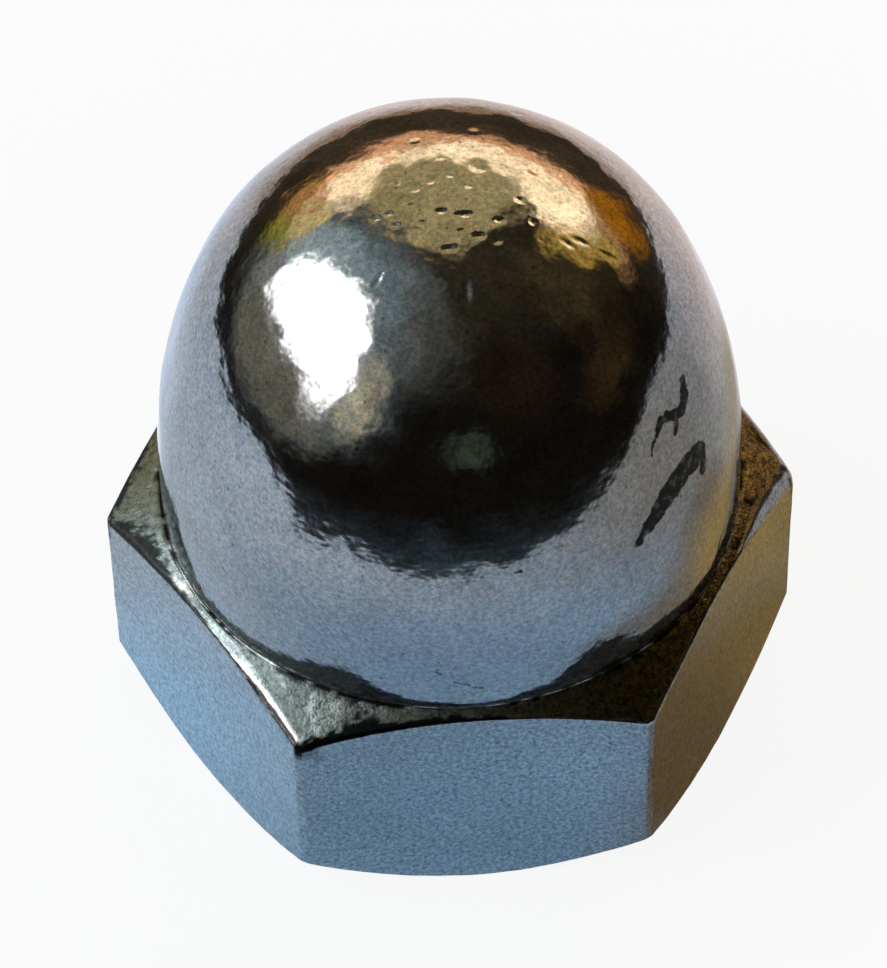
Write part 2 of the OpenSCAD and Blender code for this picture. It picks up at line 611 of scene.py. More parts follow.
# Share of the pitch and of the thread's depth at each row of one turn of the thread
THREAD_ROWS = (
    (0.02, 0.0),
    (0.16, 0.0),
    (0.30, 0.0),
    (0.34, 0.05),
    (0.46, 0.5),
    (0.57, 0.93),
    (0.62, 1.0),
    (0.70, 1.0),
    (0.75, 0.93),
    (0.86, 0.5),
    (0.975, 0.05),
)
THREAD_TOP_Z = RELIEF_LOW_Z + 0.64
# Rows of the thread nearer than this to the ring below it or above it are left out
THREAD_MARGIN = 0.03


def bore_radius(z, share):
    """The bore's radius where the thread would have cut that share of its depth."""
    thread = TAP_R + (THREAD_R - TAP_R) * share
    countersink = MOUTH_R - z
    runout = TAP_R + z - RELIEF_LOW_Z
    return max(thread, countersink, runout)


def bore_point(r, z, angle):
    """A point of the bore."""
    return (r * math.cos(angle), r * math.sin(angle), z)


def bore_ring(shell, r, z, run, angles):
    """Adds one level ring of the bore."""
    return shell.ring(np.array([bore_point(r, z, a) for a in angles]), run, bore=1)


def thread_columns(shell, angles):
    """Adds the threaded wall, a column of vertices at each angle, each row's number by its key.

    A row keeps its key as it climbs one pitch in a turn."""
    per_turn = len(THREAD_ROWS)
    columns = []
    for angle in angles:
        rise = PITCH * angle / math.tau
        keys, spots, runs = [], [], []
        for k in range(-2 * per_turn, 9 * per_turn):
            turn, row = divmod(k, per_turn)
            z = PITCH * (turn + THREAD_ROWS[row][0]) + rise
            if THREAD_MARGIN < z < THREAD_TOP_Z - THREAD_MARGIN:
                keys.append(k)
                spots.append(bore_point(bore_radius(z, THREAD_ROWS[row][1]), z, angle))
                runs.append(-z - 1)
        columns.append(dict(zip(keys, shell.ring(np.array(spots), np.array(runs), bore=1))))
    return columns


def join_thread(shell, columns, mouth, top):
    """Faces of the threaded wall, and from it to the mouth's ring and to the ring above it."""
    n = len(columns)
    for j in range(n):
        m = (j + 1) % n
        here, after = columns[j], columns[m]
        if m == 0:
            after = {k - len(THREAD_ROWS): v for k, v in after.items()}
        low_a, low_b = min(here), min(after)
        high_a, high_b = max(here), max(after)
        for k in range(max(low_a, low_b), min(high_a, high_b)):
            shell.faces.append((here[k + 1], after[k + 1], after[k], here[k]))
        if low_b < low_a:
            shell.faces.append((after[low_b], mouth[m], mouth[j]))
            shell.faces.append((here[low_a], after[low_a], after[low_b], mouth[j]))
        else:
            shell.faces.append((here[low_a], after[low_a], mouth[m], mouth[j]))
        if high_b < high_a:
            shell.faces.append((here[high_a], after[high_b], here[high_b]))
        shell.faces.append((top[j], top[m], after[high_b], here[high_a]))


def above_thread():
    """Radii and heights of the relief groove and the drilled end, from the thread up."""
    flank = RELIEF_R - TAP_R
    point_h = DRILL_TIP_Z - DRILL_FULL_Z
    # How far the groove's corners and the tapping hole's are cut back
    wide, fine = 0.04, 0.03
    return (
        (RELIEF_R - wide, RELIEF_LOW_Z + flank - wide),
        (RELIEF_R, RELIEF_LOW_Z + flank + wide),
        (RELIEF_R, RELIEF_TOP_Z - flank - wide),
        (RELIEF_R - wide, RELIEF_TOP_Z - flank + wide),
        (TAP_R + fine, RELIEF_TOP_Z - fine),
        (TAP_R, RELIEF_TOP_Z + fine),
        (TAP_R, DRILL_FULL_Z - fine),
        (TAP_R - wide, DRILL_FULL_Z + 0.025),
        (TAP_R * 0.7, DRILL_FULL_Z + point_h * 0.3),
        (TAP_R * 0.35, DRILL_FULL_Z + point_h * 0.65),
        (TAP_R * 0.1, DRILL_FULL_Z + point_h * 0.9),
    )


def add_bore(shell, mouth):
    """The threaded hole, from the countersink's rim up to the drill's point."""
    angles = ANGLES[::2]
    last = (bore_radius(THREAD_TOP_Z, 0), THREAD_TOP_Z)
    run = -THREAD_TOP_Z - 1
    below = bore_ring(shell, *last, run, angles)
    join_thread(shell, thread_columns(shell, angles), mouth, below)
    for r, z in above_thread():
        run -= math.dist(last, (r, z))
        last = (r, z)
        ring = bore_ring(shell, r, z, run, angles if r > 1 else angles[::4])
        if len(ring) == len(below):
            shell.join(ring, below)
        else:
            join_coarser(shell, below, ring)
        below = ring
    tip = shell.ring(np.array([[0, 0, DRILL_TIP_Z]]), run - 0.3, bore=1)[0]
    shell.fan(below[::-1], tip)


def join_coarser(shell, fine, coarse):
    """Faces between a ring and one with a fraction of its vertices, seen from inside the bore."""
    ratio = len(fine) // len(coarse)
    for k in range(len(coarse)):
        m = (k + 1) % len(coarse)
        for i in range(ratio):
            a, b = fine[k * ratio + i], fine[(k * ratio + i + 1) % len(fine)]
            shell.faces.append((coarse[k] if i < ratio // 2 else coarse[m], b, a))
        shell.faces.append((coarse[k], coarse[m], fine[k * ratio + ratio // 2]))


def read(items, name, kind=float, width=1):
    """One property of all of a mesh's vertices, loops or faces."""
    values = np.zeros(len(items) * width, kind)
    items.foreach_get(name, values)
    return values


# The width of the map: a face that crosses its seam reaches a little past one turn
MAP_WIDTH = 1.02


def set_uv(mesh, run):
    """A map rolled out round the axis, its height the run along the half section."""
    co = read(mesh.vertices, "co", float, 3).reshape(-1, 3)
    corner = read(mesh.loops, "vertex_index", int)
    size = read(mesh.polygons, "loop_total", int)
    face = np.repeat(np.arange(len(size)), size)
    turn = np.arctan2(co[:, 1], co[:, 0]) / math.tau % 1
    u = turn[corner]
    at_pole = np.hypot(co[corner, 0], co[corner, 1]) < 1e-6
    # A face that crosses the map's seam keeps all its corners on one side
    highest = np.full(len(size), -1.0)
    np.maximum.at(highest, face, np.where(at_pole, -1, u))
    u = np.where((highest[face] - u > 0.5) & ~at_pole, u + 1, u)
    # A corner at a pole goes to the middle of its face
    total, number = np.zeros(len(size)), np.zeros(len(size))
    np.add.at(total, face, np.where(at_pole, 0, u))
    np.add.at(number, face, ~at_pole)
    u = np.where(at_pole, (total / number)[face], u)
    v = (run[corner] - run.min()) / (run.max() - run.min())
    layer = mesh.uv_layers.new(name="OFBake")
    layer.data.foreach_set("uv", np.stack([u / MAP_WIDTH, v], 1).astype(np.float32).ravel())


def join_mouth(shell, outer, mouth):
    """Faces from the outside's first ring to the countersink's, which has half its vertices."""
    for k in range(len(mouth)):
        m = (k + 1) % len(mouth)
        a, b, c = outer[2 * k], outer[2 * k + 1], outer[(2 * k + 2) % COLUMNS]
        shell.faces.append((b, a, mouth[k]))
        shell.faces.append((mouth[m], b, mouth[k]))
        shell.faces.append((c, b, mouth[m]))


def linked(name, data):
    """A new object of the scene."""
    thing = bpy.data.objects.new(name, data)
    bpy.context.scene.collection.objects.link(thing)
    return thing


def build_nut():
    """The whole nut as one closed mesh."""
    shell = Shell()
    outer_rim = add_outside(shell)
    angles = ANGLES[::2]
    rim = [MOUTH_R * np.cos(angles), MOUTH_R * np.sin(angles), np.zeros(len(angles))]
    mouth = shell.ring(np.stack(rim, 1), -0.2, grain=0.5)
    join_mouth(shell, outer_rim, mouth)
    add_bore(shell, mouth)
    points = np.concatenate(shell.points) * MM
    mesh = bpy.data.meshes.new("domed_cap_nut")
    mesh.from_pydata(points.tolist(), [], [tuple(int(i) for i in f) for f in shell.faces])
    for name in SURFACE_MARKS:
        layer = mesh.attributes.new(name, "FLOAT", "POINT")
        layer.data.foreach_set("value", shell.mark(name).astype(np.float32))
    mesh.polygons.foreach_set("use_smooth", np.ones(len(mesh.polygons), bool))
    set_uv(mesh, shell.mark("run"))
    mesh.validate()
    mesh.update()
    return linked("domed_cap_nut", mesh)


# ---------------------------------------------------------------- shader helpers


class Tree:
    """Short ways to add nodes to a material, world or group."""

    def __init__(self, tree):
        self.tree = tree
        tree.nodes.clear()

    def feed(self, socket, value):
        """Links another node's output to an input, or sets the input's own value."""
        if isinstance(value, bpy.types.NodeSocket):
            self.tree.links.new(value, socket)
        elif value is not None:
            socket.default_value = value

    def node(self, kind, *links, **values):
        """Adds a node. Values whose name is an input go to that input, and the rest to the node."""
        n = self.tree.nodes.new(kind)
        for name, value in values.items():
            if hasattr(n, name) and not isinstance(value, bpy.types.NodeSocket):
                setattr(n, name, value)
            else:
                self.feed(n.inputs[name.replace("_", " ")], value)
        for k, value in enumerate(links):
            self.feed(n.inputs[k], value)
        return n

    def maths(self, operation, a, b=0.0, clamp=False):
        """A Math node's result."""
        return self.node("ShaderNodeMath", a, b, operation=operation, use_clamp=clamp).outputs[0]

    def vector(self, operation, a, b=None, scale=None):
        """A Vector Math node's result."""
        n = self.node("ShaderNodeVectorMath", a, b, operation=operation)
        if scale is not None:
            self.feed(n.inputs["Scale"], scale)
        return n.outputs["Value" if operation in ("DOT_PRODUCT", "LENGTH") else "Vector"]

    def mix(self, factor, a, b):
        """A colour mix."""
        n = self.node("ShaderNodeMix", data_type="RGBA")
        for name, value in (("Factor_Float", factor), ("A_Color", a), ("B_Color", b)):
            self.feed(next(s for s in n.inputs if s.identifier == name), value)
        return next(s for s in n.outputs if s.identifier == "Result_Color")

    def remap(self, value, low, high, to_low=0.0, to_high=1.0, smooth=False):
        """A Map Range node's result, clamped."""
        kind = "SMOOTHSTEP" if smooth else "LINEAR"
        n = self.node("ShaderNodeMapRange", interpolation_type=kind)
        names = ("Value", "From Min", "From Max", "To Min", "To Max")
        for name, v in zip(names, (value, low, high, to_low, to_high)):
            self.feed(n.inputs[name], v)
        return n.outputs[0]

    def noise(self, where, scale, detail=2.0, roughness=0.5, output=0):
        """A Noise Texture's value, or its colour as output 1."""
        n = self.node(
            "ShaderNodeTexNoise", Vector=where, Scale=scale, Detail=detail, Roughness=roughness
        )
        return n.outputs[output]

    def attribute(self, name):
        """A per-vertex mark of the mesh."""
        return self.node("ShaderNodeAttribute", attribute_name=name).outputs["Fac"]


def new_material(name):
    """A material and its empty tree."""
    material = bpy.data.materials.new(name)
    material.use_nodes = True
    return material, Tree(material.node_tree)


def linear(r, g, b, scale=1.0):
    """A colour written as an 8-bit screen colour, as a linear one with alpha."""

    def one(v):
        v = v / 255
        return (v / 12.92 if v <= 0.04045 else ((v + 0.055) / 1.055) ** 2.4) * scale

    return (one(r), one(g), one(b), 1.0)


# ---------------------------------------------------------------- plating

PLATE_COLOUR = (0.720, 0.740, 0.780, 1.0)
PLATE_STAINED = (0.280, 0.295, 0.325, 1.0)
PLATE_MEAN = (0.510, 0.530, 0.565)
HOLE_COLOUR = (0.120, 0.125, 0.160, 1.0)
# The chamfers' tint, green on the left and brown on the right: partly their own colour, partly
# painted light from the cool lamp on the left and warm light in its shade on the right
CHAMFER_GREEN = (0.245, 0.320, 0.340, 1.0)
CHAMFER_BROWN = (0.320, 0.255, 0.115, 1.0)
CHAMFER_DARK = (0.030, 0.032, 0.028, 1.0)
# Near black: dirt on the chamfers, the dome's dark marks and painted shade in the torn line
DARK_MARK_COLOUR = (0.006, 0.008, 0.009, 1.0)
BORE_COLOUR = (0.400, 0.385, 0.360, 1.0)
BORE_DARK = (0.170, 0.150, 0.130, 1.0)


def capsule_group():
    """A node group: how far a point is outside a capsule from A to B, in its own units."""
    tree = bpy.data.node_groups.new("capsule_distance", "ShaderNodeTree")
    face = tree.interface
    for name, kind in (
        ("Point", "NodeSocketVector"),
        ("A", "NodeSocketVector"),
        ("B", "NodeSocketVector"),
        ("Radius", "NodeSocketFloat"),
    ):
        face.new_socket(name, in_out="INPUT", socket_type=kind)
    face.new_socket("Distance", in_out="OUTPUT", socket_type="NodeSocketFloat")
    t = Tree(tree)
    given = t.node("NodeGroupInput")
    pa = t.vector("SUBTRACT", given.outputs["Point"], given.outputs["A"])
    ba = t.vector("SUBTRACT", given.outputs["B"], given.outputs["A"])
    share = t.maths(
        "DIVIDE", t.vector("DOT_PRODUCT", pa, ba), t.vector("DOT_PRODUCT", ba, ba), clamp=True
    )
    nearest = t.vector("SCALE", ba, scale=share)
    away = t.vector("LENGTH", t.vector("SUBTRACT", pa, nearest))
    result = t.maths("SUBTRACT", away, given.outputs["Radius"])
    t.node("NodeGroupOutput", result)
    return tree


def marks_mask(t, where, strokes, edge, group):
    """1 inside any of the strokes, each a line of (azimuth, height, half-width) on the dome."""
    nearest = None
    for stroke in strokes:
        for (az_a, z_a, w_a), (az_b, z_b, w_b) in zip(stroke, stroke[1:]):
            ends = {"A": on_dome(az_a, z_a), "B": on_dome(az_b, z_b), "Radius": (w_a + w_b) / 2}
            n = t.node("ShaderNodeGroup", node_tree=group, Point=where, **ends)
            away = n.outputs[0]
            nearest = away if nearest is None else t.maths("MINIMUM", nearest, away)
    return t.remap(nearest, edge, -edge, smooth=True)


# Dark marks on the dome's side: strokes of (azimuth, height, half-width)
SQUIGGLE = (
    (
        (330.6, 11.52, 0.11),
        (330.0, 11.42, 0.16),
        (329.0, 11.24, 0.14),
        (326.6, 11.12, 0.10),
        (324.4, 11.18, 0.15),
        (321.7, 11.36, 0.12),
        (319.3, 11.41, 0.08),
        (317.1, 11.23, 0.06),
        (314.2, 10.94, 0.02),
    ),
    ((323.8, 11.06, 0.10), (322.4, 10.90, 0.07)),
)
BLOTCH = (
    ((327.4, 9.86, 0.25), (325.7, 9.90, 0.31), (322.8, 9.94, 0.30), (319.2, 9.88, 0.31)),
    ((319.2, 9.88, 0.31), (315.1, 9.75, 0.28), (312.1, 9.60, 0.23), (309.0, 9.43, 0.17)),
    ((309.0, 9.43, 0.17), (306.1, 9.20, 0.08)),
    ((328.9, 9.78, 0.16), (327.6, 9.40, 0.12)),
)
NICKS = (
    ((279.0, 9.74, 0.035), (280.1, 9.72, 0.035)),
    ((262.6, 7.03, 0.02), (264.4, 6.93, 0.02)),
    ((266.5, 6.68, 0.018), (269.5, 6.54, 0.018)),
    ((270.3, 6.46, 0.03), (271.5, 6.42, 0.03)),
    ((290.7, 6.68, 0.022), (292.6, 6.79, 0.022)),
    ((293.8, 6.71, 0.025), (295.9, 6.79, 0.02)),
)
# Parts of the dome that hold those marks: azimuths and heights
MARKED_AREA = ((303.0, 334.0, 8.9, 12.1),)
NICKED_AREAS = ((259.0, 299.0, 6.2, 7.3), (276.0, 283.0, 9.4, 10.0))


def in_millimetres(t):
    """The surface's place in the row frame, in millimetres."""
    place = t.node("ShaderNodeTexCoord").outputs["Object"]
    return t.vector("SCALE", place, scale=1 / MM)


def round_the_axis(t, where):
    """A place that changes fast with height and slowly round the axis, for turning marks."""
    split = t.node("ShaderNodeSeparateXYZ", where)
    flat = t.node("ShaderNodeCombineXYZ", split.outputs[0], split.outputs[1], 0.0).outputs[0]
    ring = t.vector("NORMALIZE", flat)
    wide = t.vector("SCALE", ring, scale=6.0)
    high = t.node("ShaderNodeCombineXYZ", 0.0, 0.0, t.maths("MULTIPLY", split.outputs[2], 9.0))
    return t.vector("ADD", wide, high.outputs[0])


def pinholes(t, where):
    """1 inside small round holes in the plate, of mixed sizes."""
    cells = t.node("ShaderNodeTexVoronoi", Vector=where, Scale=4.2)
    pick = t.node("ShaderNodeSeparateColor", cells.outputs["Color"]).outputs[0]
    size = t.remap(pick, 0.45, 1.0, 0.0, 0.25)
    return t.remap(cells.outputs["Distance"], size, t.maths("MULTIPLY", size, 0.4), smooth=True)


# These marks only darken the plate along the strokes
def dark_strokes(t, where, strokes):
    """1 on the dark marks among those strokes, their outlines frayed a little."""
    fray = t.noise(where, 5.0, 2.0, output=1)
    off = t.vector("SCALE", t.vector("SUBTRACT", fray, (0.5,) * 3), scale=0.2)
    patchy = t.remap(t.noise(where, 6.0, 2.0), 0.34, 0.48, 0.75, 1.0)
    mask = marks_mask(t, t.vector("ADD", where, off), strokes, 0.03, capsule_group())
    return t.maths("MULTIPLY", mask, patchy)


def metal(t, surface, rough, height):
    """Ends a tree as bare metal, its bumps of that height in micrometres."""
    bump = t.node("ShaderNodeBump", Strength=1.0, Distance=1e-6, Height=height)
    shader = t.node(
        "ShaderNodeBsdfPrincipled",
        Base_Color=surface,
        Roughness=rough,
        Metallic=1.0,
        Normal=bump.outputs[0],
    )
    t.node("ShaderNodeOutputMaterial", shader.outputs[0])


def speckled_plate(t, where, domed):
    """Colour, roughness and bump height of the plate itself."""
    speckle = t.node("ShaderNodeTexNoise", Vector=where, Scale=10.0, Detail=3.0, Roughness=0.8)
    spread = (0.16, 0.84) if domed else (0.0, 1.0)
    mottle = t.remap(speckle.outputs[0], 0.34, 0.64, *spread)
    surface = t.mix(mottle, PLATE_STAINED, PLATE_COLOUR)
    hue = t.vector("ADD", t.vector("SCALE", speckle.outputs[1], scale=0.7), (0.65, 0.65, 0.65))
    surface = t.vector("MULTIPLY", surface, hue)
    polish = (0.13, 0.08) if domed else (0.20, 0.14)
    rough = t.remap(mottle, 0.0, 1.0, *polish)
    height = t.maths("MULTIPLY", t.noise(where, 4.2, 1.0), 6.0)
    if domed:
        height = t.maths("ADD", height, t.noise(round_the_axis(t, where), 1.0, 1.0))
    return surface, rough, height


def turned_grain(t, where, surface, rough, height):
    """The same three, changed to torn and tarnished turning where the mesh is grainy, cooler and
    lighter on the left and warmer and darker on the right as painted light.
    """
    grain = t.attribute("grain")
    clumps = t.noise(where, 8.0, 4.0, 0.85)
    # From the left to the right of the nut: painted light, green where the window lamp falls on the
    # left, brown in its shade on the right
    side = t.remap(t.node("ShaderNodeSeparateXYZ", where).outputs[0], -4.0, 5.5)
    tarnish_and_side_light = t.mix(side, CHAMFER_GREEN, CHAMFER_BROWN)
    # More of the chamfer goes dark towards the right: painted shade
    darkest_with_side_shade = t.remap(side, 0.0, 1.0, 0.27, 0.40)
    patches = t.remap(clumps, darkest_with_side_shade, t.maths("ADD", darkest_with_side_shade, 0.27))
    ground = t.mix(patches, CHAMFER_DARK, tarnish_and_side_light)
    depth = t.remap(side, 0.0, 1.0, 8.0, 14.0)
    torn = t.maths("MULTIPLY", t.noise(where, 15.0, 3.0, 0.6), depth)
    surface = t.mix(grain, surface, ground)
    rough = t.remap(grain, 0.0, 1.0, rough, 0.30)
    height = t.remap(grain, 0.0, 1.0, height, torn)
    return surface, rough, height


def plating(name, domed=False, turned=False, strokes=()):
    """Polished nickel-chrome plate over steel.

    domed adds marks that run round the axis, turned a grain where the mesh asks for it, and
    strokes dark marks."""
    material, t = new_material(name)
    where = in_millimetres(t)
    surface, rough, height = speckled_plate(t, where, domed)
    dark = None
    if turned:
        surface, rough, height = turned_grain(t, where, surface, rough, height)
        # Dirt on the chamfers, and painted shade along the torn line
        dark = t.attribute("grime")
    else:
        holes = t.maths("MULTIPLY", pinholes(t, where), 0.7)
        surface = t.mix(holes, surface, HOLE_COLOUR)
    if strokes:
        dark = t.maths("MULTIPLY", dark_strokes(t, where, strokes), 0.95)
    if dark is not None:
        surface = t.mix(dark, surface, DARK_MARK_COLOUR)
        rough = t.remap(dark, 0.0, 1.0, rough, 0.45)
    metal(t, surface, rough, height)
    return material


def bored_plating():
    """The thin, duller plate inside the tapped hole."""
    material, t = new_material("plating_bore")
    where = in_millimetres(t)
    stain = t.remap(t.noise(where, 3.0, 3.0, 0.65), 0.35, 0.65)
    surface = t.mix(stain, BORE_DARK, BORE_COLOUR)
    rough = t.remap(stain, 0.0, 1.0, 0.42, 0.30)
    metal(t, surface, rough, t.maths("MULTIPLY", t.noise(where, 8.0, 2.0), 10.0))
    return material


def finish_nut(nut):
    """Gives each face of the nut the finish of its place."""
    mesh = nut.data
    for material in (
        plating("plating_flats"),
        plating("plating_dome", domed=True),
        plating("plating_dome_marked", domed=True, strokes=SQUIGGLE + BLOTCH),
        plating("plating_dome_nicked", domed=True, strokes=NICKS),
        plating("plating_chamfers", turned=True),
        bored_plating(),
    ):
        mesh.materials.append(material)
    flats, dome, marked, nicked, chamfers, bore = range(6)
    corner = read(mesh.loops, "vertex_index", int)
    start = read(mesh.polygons, "loop_start", int)
    x, y, z = read(mesh.polygons, "center", float, 3).reshape(-1, 3).T / MM
    azimuth = np.degrees(np.arctan2(y, x)) % 360

    def per_face(name):
        values = read(mesh.attributes[name].data, "value")
        return np.maximum.reduceat(values[corner], start)

    def inside(areas):
        hit = np.zeros(len(z), bool)
        for left, right, low, high in areas:
            hit |= (azimuth > left) & (azimuth < right) & (z > low) & (z < high)
        return hit

    kind = np.where(per_face("dome") > 0.9, dome, flats)
    kind = np.where((kind == dome) & inside(MARKED_AREA), marked, kind)
    kind = np.where((kind == dome) & inside(NICKED_AREAS), nicked, kind)
    rough = np.maximum(per_face("grain"), per_face("grime")) > 0.001
    kind = np.where(rough, chamfers, kind)
    kind = np.where(per_face("bore") > 0.5, bore, kind)
    mesh.polygons.foreach_set("material_index", kind.astype(np.int32))
    mesh.update()


# ---------------------------------------------------------------- studio
CAMERA_TURN = -3.495  # degrees round the nut from straight in front of a flat
CAMERA_ELEVATION = 50.917
CAMERA_DISTANCE = 121.58
CAMERA_AIM_Z = 6.5
CAMERA_PAN = 0.071
CAMERA_TILT = -0.298
CAMERA_ROLL = -1.328
CAMERA_LENS = 210.82


def turned_into_place(v):
    """A direction or point of the studio, turned with the camera round the axis."""
    return Matrix.Rotation(math.radians(CAMERA_TURN), 4, "Z") @ Vector(v)


def toward(azimuth, elevation):
    """The direction at an azimuth from straight behind the nut, clockwise, and an elevation."""
    a, e = math.radians(azimuth), math.radians(elevation)
    return turned_into_place((math.sin(a) * math.cos(e), math.cos(a) * math.cos(e), math.sin(e)))


def add_camera():
    """The camera at the photographed angle."""
    e = math.radians(CAMERA_ELEVATION)
    back = Vector((0, -math.cos(e), math.sin(e)))
    right = Vector((1, 0, 0))
    place = Vector((0, 0, CAMERA_AIM_Z)) + CAMERA_DISTANCE * back
    axes = [right, back.cross(right), back]
    for angle, k in ((CAMERA_PAN, 1), (CAMERA_TILT, 0), (CAMERA_ROLL, 2)):
        spin = Matrix.Rotation(math.radians(angle), 3, axes[k])
        axes = [spin @ axis for axis in axes]
    rotation = Matrix([turned_into_place(axis) for axis in axes]).transposed()
    data = bpy.data.cameras.new("camera")
    data.lens = CAMERA_LENS
    data.sensor_width = 36
    data.clip_start = 0.005
    camera = linked("camera", data)
    place = turned_into_place(place * MM)
    camera.matrix_world = Matrix.Translation(place) @ rotation.to_4x4()
    bpy.context.scene.camera = camera


FLOOR_HALF_SIZE = 1.5
# Share of the floor's whiteness that is its own, near the nut and far from it, at these mm
WHITE_SHARE = (0.91, 1.0)
WHITE_REACH = (8.0, 50.0)


def add_floor():
    """A pale floor that keeps the nut's soft shadow. The metal mirrors the sheet in its place."""
    s = FLOOR_HALF_SIZE
    mesh = bpy.data.meshes.new("floor")
    mesh.from_pydata([(-s, -s, 0), (s, -s, 0), (s, s, 0), (-s, s, 0)], [], [(0, 1, 2, 3)])
    floor = linked("floor", mesh)
    floor.visible_glossy = False
    material, t = new_material("floor")
    is_camera = t.node("ShaderNodeLightPath").outputs["Is Camera Ray"]
    away = t.vector("LENGTH", in_millimetres(t))
    share = t.remap(away, *WHITE_REACH, *WHITE_SHARE)
    paper = t.node("ShaderNodeBsdfDiffuse", Color=(0.80, 0.80, 0.80, 1))
    white = t.node("ShaderNodeEmission", Strength=1.0)
    factor = t.maths("MULTIPLY", is_camera, share)
    both = t.node("ShaderNodeMixShader", factor, paper.outputs[0], white.outputs[0])
    t.node("ShaderNodeOutputMaterial", both.outputs[0])
    mesh.materials.append(material)
    return floor


# What the metal mirrors, painted in this order: azimuth, elevation, half-width, half-height,
# softness, squareness, screen colour, and strength where it is not 1. Angles are in degrees.
ROOM_PATCHES = (
    (-100, 64, 75, 26, 0.5, 2, (66, 68, 64)),
    (-95, 40, 48, 34, 0.45, 2, (92, 106, 110)),
    (-61, 34, 11, 22, 0.45, 3, (116, 130, 132)),
    (171, 19, 9, 7, 0.5, 3, (42, 50, 40)),
    (100, 17, 14, 9, 0.8, 2, (42, 31, 16)),
    (143, 42, 20, 16, 0.8, 2, (24, 17, 11)),
    (76, 46, 20, 17, 0.8, 2, (50, 43, 25)),
    (-136, 33, 9, 15, 0.5, 2.5, (144, 139, 118)),
    (8, 2, 50, 14, 0.5, 3, (46, 38, 27)),
    (4, 18, 52, 5.5, 0.4, 3, (192, 140, 98)),
    (-48, 17, 6, 9, 0.4, 2, (106, 104, 36)),
    (-45, 28, 6, 8, 0.4, 3, (172, 152, 100)),
    (59, 32, 8, 13, 0.4, 3, (148, 120, 54)),
    (8, 31, 45, 10.5, 0.16, 4, (246, 216, 172), 1.08),
    (44, 9, 9, 9, 0.35, 2, (126, 78, 12)),
    (-36, 12, 9, 5, 0.4, 2, (140, 100, 54)),
    (0, 54, 36, 26, 0.14, 2.4, (134, 120, 83)),
    # The window's highlight, painted: the window lamp itself is hidden from mirrors
    (-96, 33, 31, 27, 0.10, 2, (255, 255, 255), 2.2),
    (-92, 12, 34, 12, 0.4, 3, (86, 84, 74)),
    (180, -24, 62, 9, 0.9, 2, (32, 40, 44)),
)
# The sheet as the metal mirrors it: the lamps' cool and warm light and the nut's shadows close to
# it are painted in
FLOOR_PATCHES = (
    (-90, -35, 75, 60, 0.9, 2, (139, 150, 161)),
    (14, -30, 50, 36, 0.8, 2, (174, 162, 158)),
    (5, -52, 45, 16, 0.7, 2, (178, 176, 184)),
    (-36, -46, 24, 20, 0.8, 2, (160, 174, 194)),
    (-12, -52, 15, 11, 0.6, 2, (196, 206, 222)),
    (-44, -70, 16, 10, 0.6, 2, (208, 218, 234)),
    (0, -6, 34, 9, 0.6, 2, (112, 88, 64)),
    (103, -30, 33, 40, 0.8, 2, (104, 102, 98)),
    (60, -50, 18, 8, 0.5, 2, (130, 124, 114)),
    (94, -50, 14, 8, 0.6, 2, (94, 82, 62)),
    (180, -48, 62, 16, 0.8, 2, (102, 121, 141)),
    (180, -78, 48, 24, 0.8, 3, (88, 115, 138)),
    (-95, -87, 50, 17, 0.8, 2, (121, 155, 184)),
    (84, -63, 20, 10, 0.7, 2, (116, 99, 62)),
    (63, -69, 13, 8, 0.5, 2, (54, 45, 34)),
    (90, -83, 46, 12, 0.5, 3, (97, 81, 50)),
    (124, -76, 22, 16, 0.6, 3, (75, 62, 42)),
)
ROOM_LOW, ROOM_HIGH, FLOOR_BASE = (13, 11, 8), (36, 32, 23), (110, 120, 130)
# Edges of the sheet under the nut, mm: front, left, right and back
SHEET = (27, 64, 175, 66)


def painted(patches, base, azimuth, elevation):
    """A base colour with soft-edged patches over it, at each direction."""
    result = base
    for az, el, wide, tall, soft, square, colour, *strength in patches:
        across = np.abs(angle_between(azimuth, az)) / wide
        along = np.abs(elevation - el) / tall
        away = (across**square + along**square) ** (1 / square)
        cover = (1 - smooth_step(1 - soft, 1 + soft, away))[..., None]
        glow = np.array(linear(*colour, *strength)[:3])
        result = result * (1 - cover) + glow * cover
    return result


def directions(azimuth, elevation):
    """Unit vectors to each azimuth and elevation."""
    a, e = np.radians(azimuth), np.radians(elevation)
    return np.stack([np.sin(a) * np.cos(e), np.cos(a) * np.cos(e), np.sin(e)], -1)


def mottled(glow, way, amount):
    """Colours made uneven, all but the brightest."""
    uneven = 0.55 * lattice_noise(way, 0.12, 31) + 0.45 * lattice_noise(way, 0.05, 32)
    dim = 1 - smooth_step(0.9, 1.3, glow.max(-1))
    return glow * (1 + amount * dim * uneven)[..., None]


def mirrored_mesh(name, spots, glow, faces):
    """A glowing surface that only mirrors see, its colours divided by the plate's own."""
    mesh = bpy.data.meshes.new(name)
    mesh.from_pydata([tuple(v) for v in spots], [], faces)
    layer = mesh.color_attributes.new("glow", "FLOAT_COLOR", "POINT")
    rgba = np.concatenate([glow / np.array(PLATE_MEAN), np.ones((len(glow), 1))], 1)
    layer.data.foreach_set("color", rgba.astype(np.float32).ravel())
    thing = linked(name, mesh)
    material, t = new_material(name)
    colour = t.node("ShaderNodeVertexColor", layer_name="glow").outputs[0]
    glowing = t.node("ShaderNodeEmission", Color=colour, Strength=1.0)
    t.node("ShaderNodeOutputMaterial", glowing.outputs[0])
    mesh.materials.append(material)
    for flag in ("visible_camera", "visible_diffuse", "visible_shadow", "visible_transmission"):
        setattr(thing, flag, False)
    return thing


def closed_rings(rows, columns):
    """Faces between rings of vertices that close on themselves."""
    faces = []
    for low in range(0, (rows - 1) * columns, columns):
        high = low + columns
        for j in range(columns):
            k = (j + 1) % columns
            faces.append((low + j, low + k, high + k, high + j))
    return faces


ROOM_RADIUS = 0.5
AZIMUTHS = np.arange(-180, 180, 2.0)


